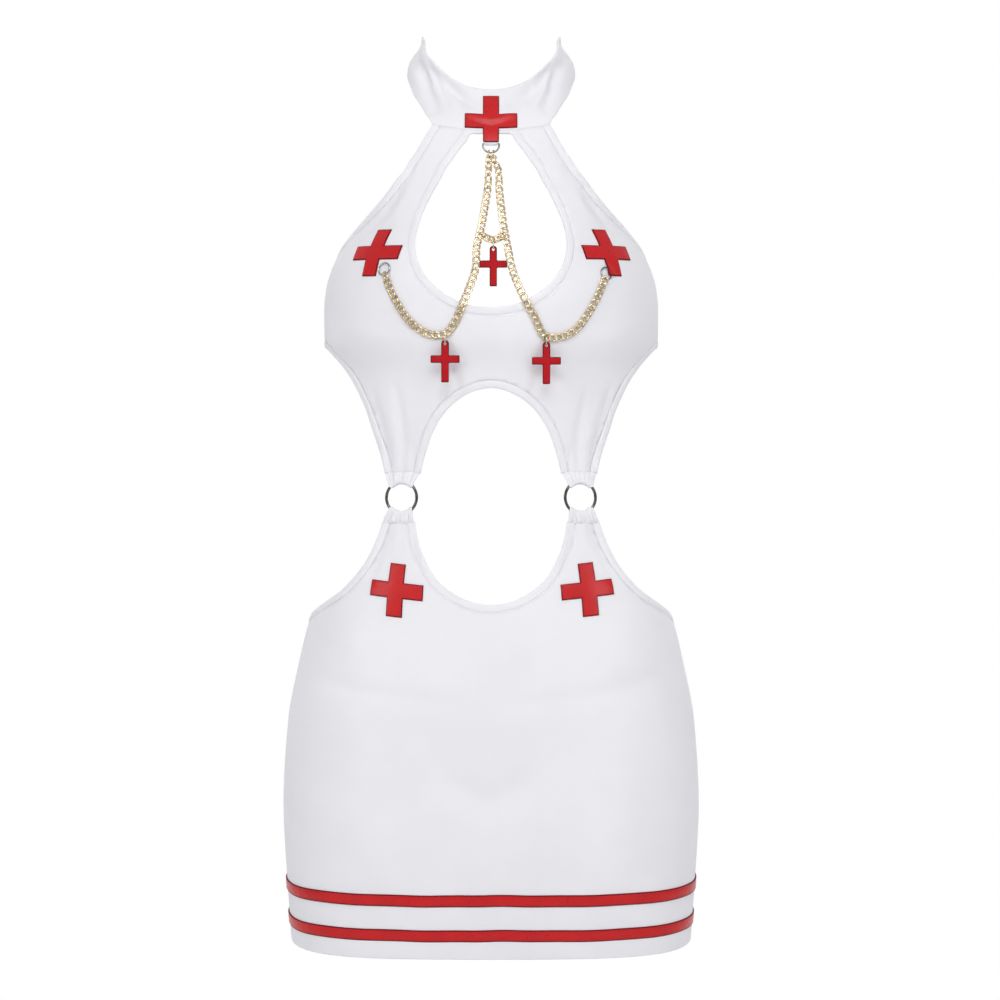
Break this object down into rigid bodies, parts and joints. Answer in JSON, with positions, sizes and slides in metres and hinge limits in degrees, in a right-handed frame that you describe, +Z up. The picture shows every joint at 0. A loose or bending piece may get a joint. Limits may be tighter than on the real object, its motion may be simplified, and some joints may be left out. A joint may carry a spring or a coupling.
{
  "type": "nurse uniform dress",
  "caption": "Short halter dress filled out as worn: tall collar, keyhole front, open midriff joined by two waist rings, draped chains with cross pendants.",
  "frame": {"origin": "middle of the neck, on the centre line, level with the lower part of the collar", "axes": "+Z up the body, -Y toward the front, +X to the right as the front is looked at"},
  "size_m": [0.3426, 0.2331, 0.741],
  "materials": {
    "white_knit": "matt, fine stretch knit",
    "red_vinyl": "soft gloss, coated cloth",
    "dark_nickel": "polished dark nickel plate",
    "silver": "polished",
    "gold": "polished, pale gold plate",
    "red_acrylic": "polished"
  },
  "bodies": {
    "dress": {"armhole_band": "white_knit", "back_strap": "white_knit", "bodice_front": "white_knit", "bodice_lower_band": "white_knit", "bust_ring_left": "silver", "bust_ring_right": "silver", "chain_centre": "gold", "chain_left": "gold", "chain_right": "gold", "collar": "white_knit", "cross_bust_left": "red_vinyl", "cross_bust_right": "red_vinyl", "cross_collar": "red_vinyl", "cross_hip_left": "red_vinyl", "cross_hip_right": "red_vinyl", "d_ring": "silver", "d_ring_tab": "white_knit", "hem_tape_lower": "red_vinyl", "hem_tape_upper": "red_vinyl", "keyhole_band": "white_knit", "loop_lower_left": "white_knit", "loop_lower_right": "white_knit", "loop_upper_left": "white_knit", "loop_upper_right": "white_knit", "midriff_arch_band": "white_knit", "midriff_curve_band": "white_knit", "skirt_back": "white_knit", "skirt_front": "white_knit", "skirt_top_band": "white_knit", "stud_back_1": "silver", "stud_back_2": "silver", "stud_cap_1": "silver", "stud_cap_2": "silver"},
    "waist_ring_left": {"waist_ring_left": "dark_nickel"},
    "waist_ring_right": {"waist_ring_right": "dark_nickel"},
    "pendant_left": {"pendant_left": "red_acrylic", "jump_ring_left": "gold"},
    "pendant_right": {"pendant_right": "red_acrylic", "jump_ring_right": "gold"},
    "pendant_centre": {"pendant_centre": "red_acrylic", "jump_ring_centre": "gold"}
  },
  "joints": [
    {"name": "waist_ring_left_turn", "type": "hinge", "parent": "dress", "child": "waist_ring_left", "pos_m": [-0.0712, -0.0762, -0.326], "axis": [-0.3449, -0.9378, 0.04], "continuous": true},
    {"name": "waist_ring_right_turn", "type": "hinge", "parent": "dress", "child": "waist_ring_right", "pos_m": [0.0712, -0.0762, -0.326], "axis": [0.3449, -0.9378, 0.04], "continuous": true},
    {"name": "pendant_left_swing", "type": "hinge", "parent": "dress", "child": "pendant_left", "pos_m": [-0.03604, -0.10879, -0.19744], "axis": [1, 0, 0], "range_deg": [-70, 8]},
    {"name": "pendant_right_swing", "type": "hinge", "parent": "dress", "child": "pendant_right", "pos_m": [0.04369, -0.10711, -0.19866], "axis": [1, 0, 0], "range_deg": [-70, 8]},
    {"name": "pendant_centre_swing", "type": "hinge", "parent": "dress", "child": "pendant_centre", "pos_m": [0.0019, -0.10121, -0.12206], "axis": [1, 0, 0], "range_deg": [-70, 60]}
  ]
}
